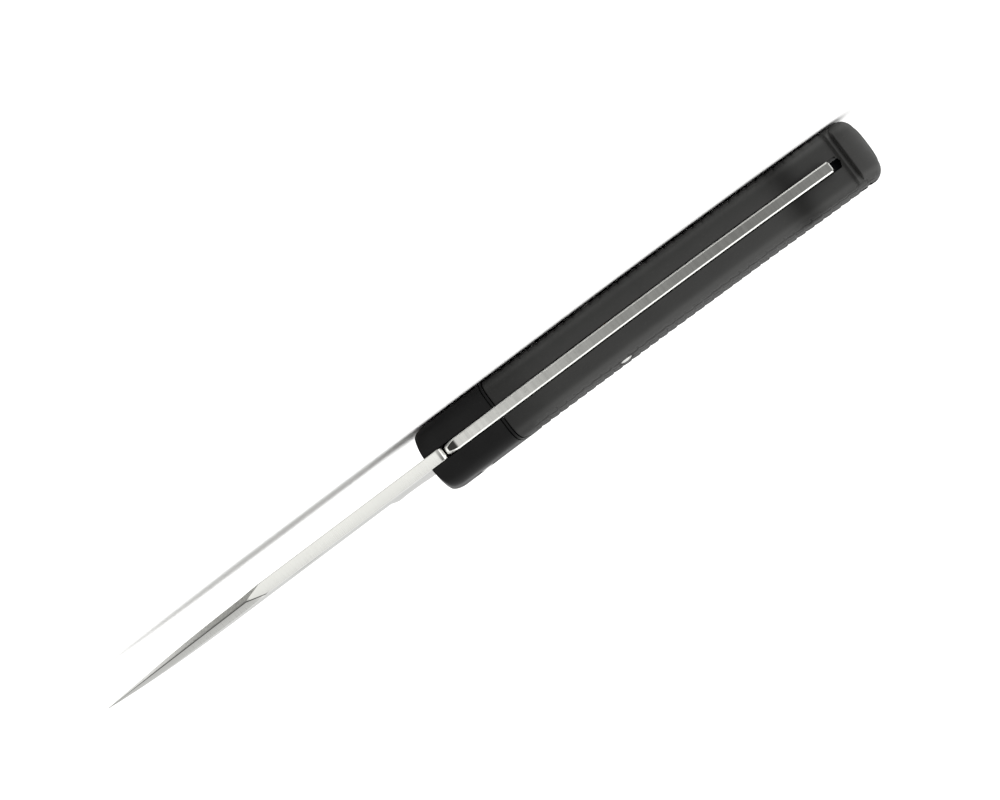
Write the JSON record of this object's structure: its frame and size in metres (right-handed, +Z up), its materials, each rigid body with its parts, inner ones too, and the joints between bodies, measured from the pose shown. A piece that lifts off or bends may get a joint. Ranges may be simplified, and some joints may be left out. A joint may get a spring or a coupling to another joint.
{
  "type": "lock-back folding hunting knife",
  "caption": "Open lock-back folding knife lying on its side: clip-point steel blade, spine lock bar with a rear thumb release, and a moulded nylon handle under a textured rubber grip.",
  "frame": {"origin": "centre of the bounding box at the surface the knife lies on", "axes": "+X along the blade towards the tip, +Z up through the thickness towards the left side of the handle, the spine faces -Y and the cutting edge +Y"},
  "size_m": [0.217, 0.0384, 0.0163],
  "materials": {
    "blade_steel": "fine satin ground stainless steel",
    "bar_steel": "ground steel with bright bevelled edges",
    "pin_steel": "turned stainless steel",
    "spring_steel": "tempered spring steel",
    "washer_bronze": "plain phosphor bronze",
    "nylon": "black moulded glass-filled nylon, satin",
    "grip_rubber": "black moulded rubber, matt, with a raised scale texture on both sides"
  },
  "bodies": {
    "handle": {"left_frame": "nylon", "right_frame": "nylon", "grip_sleeve": "grip_rubber", "butt_spacer": "nylon", "lock_spring": "spring_steel", "pivot_pin": "pin_steel", "pivot_bushing": "washer_bronze", "rocker_pin": "pin_steel", "spring_pin": "pin_steel", "butt_rivet": "pin_steel", "left_pivot_washer": "washer_bronze", "right_pivot_washer": "washer_bronze", "left_rocker_washer": "washer_bronze", "right_rocker_washer": "washer_bronze"},
    "blade": {"blade": "blade_steel"},
    "lock_bar": {"lock_bar": "bar_steel"}
  },
  "joints": [
    {"name": "blade_fold", "type": "hinge", "parent": "handle", "child": "blade", "pos_m": [0.0061, -0.00497, 0.00815], "axis": [0, 0, 1], "range_deg": [0, 176.5]},
    {"name": "lock_bar_rock", "type": "hinge", "parent": "handle", "child": "lock_bar", "pos_m": [-0.0342, -0.01317, 0.00815], "axis": [0, 0, -1], "range_deg": [0, 2.6], "stiffness_Nm_per_rad": 12, "springref_deg": -3.44, "deforming": ["lock_spring"]}
  ]
}
